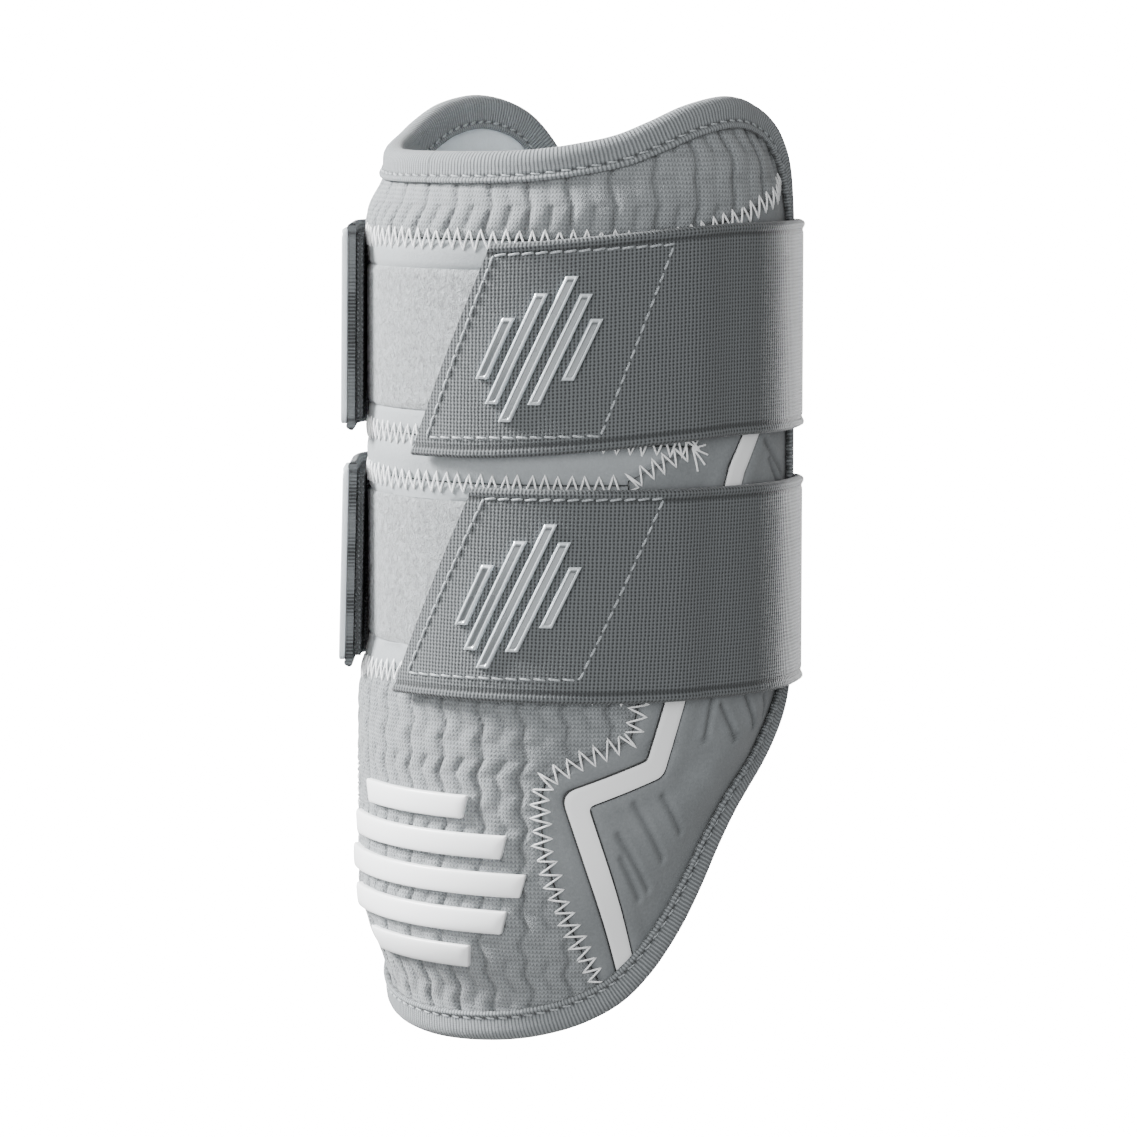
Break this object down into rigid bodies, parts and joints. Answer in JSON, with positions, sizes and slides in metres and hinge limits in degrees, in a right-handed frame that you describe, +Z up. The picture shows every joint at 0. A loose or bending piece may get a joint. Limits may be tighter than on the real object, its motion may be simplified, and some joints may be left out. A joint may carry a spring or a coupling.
{
  "type": "baseball elbow guard",
  "caption": "Padded half sleeve for an elbow, bound all round, with two elastic straps that wrap the arm and hook onto loop patches.",
  "frame": {"origin": "On the surface that the guard lies on, under the middle of its overall box, with the spine up and the flat runs of both straps on the surface.", "axes": "X across the arm, Y along the arm from the elbow end to the wide end, Z up through the spine."},
  "size_m": [0.1102, 0.225, 0.0931],
  "materials": {
    "foam": "closed-cell foam, matt",
    "lining": "smooth lining cloth",
    "knit": "quilted knit with staggered wavy grooves",
    "smooth_panel": "smooth moulded cloth",
    "wing_panel": "smooth cloth embossed with short grooves",
    "loop_patch": "brushed loop pile",
    "binding": "ribbed folded binding tape, stitched",
    "stripe": "satin white film inlay",
    "raised_print": "raised white print",
    "elastic": "woven elastic webbing",
    "hook": "hook tape",
    "tab_plate": "smooth moulded end plate",
    "tab_bar": "silver moulded bar"
  },
  "bodies": {
    "root": {"foam_core": "foam", "lining": "lining", "knit_panel_upper": "knit", "knit_panel_lower": "knit", "loop_base_upper": "smooth_panel", "middle_band": "smooth_panel", "loop_base_lower": "smooth_panel", "wing_panel_right": "wing_panel", "wing_panel_left": "wing_panel", "loop_patch_upper": "loop_patch", "loop_patch_lower": "loop_patch", "rim_binding": "binding", "stripe_right": "stripe", "stripe_left": "stripe", "front_bar_1": "raised_print", "front_bar_2": "raised_print", "front_bar_3": "raised_print", "front_bar_4": "raised_print", "front_bar_5": "raised_print", "strap_upper": "elastic", "strap_lower": "elastic", "hook_pad_front_upper": "hook", "hook_pad_front_lower": "hook", "hook_pad_back_upper": "hook", "hook_pad_back_lower": "hook", "tab_plate_upper": "tab_plate", "tab_plate_lower": "tab_plate", "tab_bar_upper_1": "tab_bar", "tab_bar_upper_2": "tab_bar", "tab_bar_upper_3": "tab_bar", "tab_bar_upper_4": "tab_bar", "tab_bar_upper_5": "tab_bar", "tab_bar_lower_1": "tab_bar", "tab_bar_lower_2": "tab_bar", "tab_bar_lower_3": "tab_bar", "tab_bar_lower_4": "tab_bar", "tab_bar_lower_5": "tab_bar"}
  },
  "joints": []
}
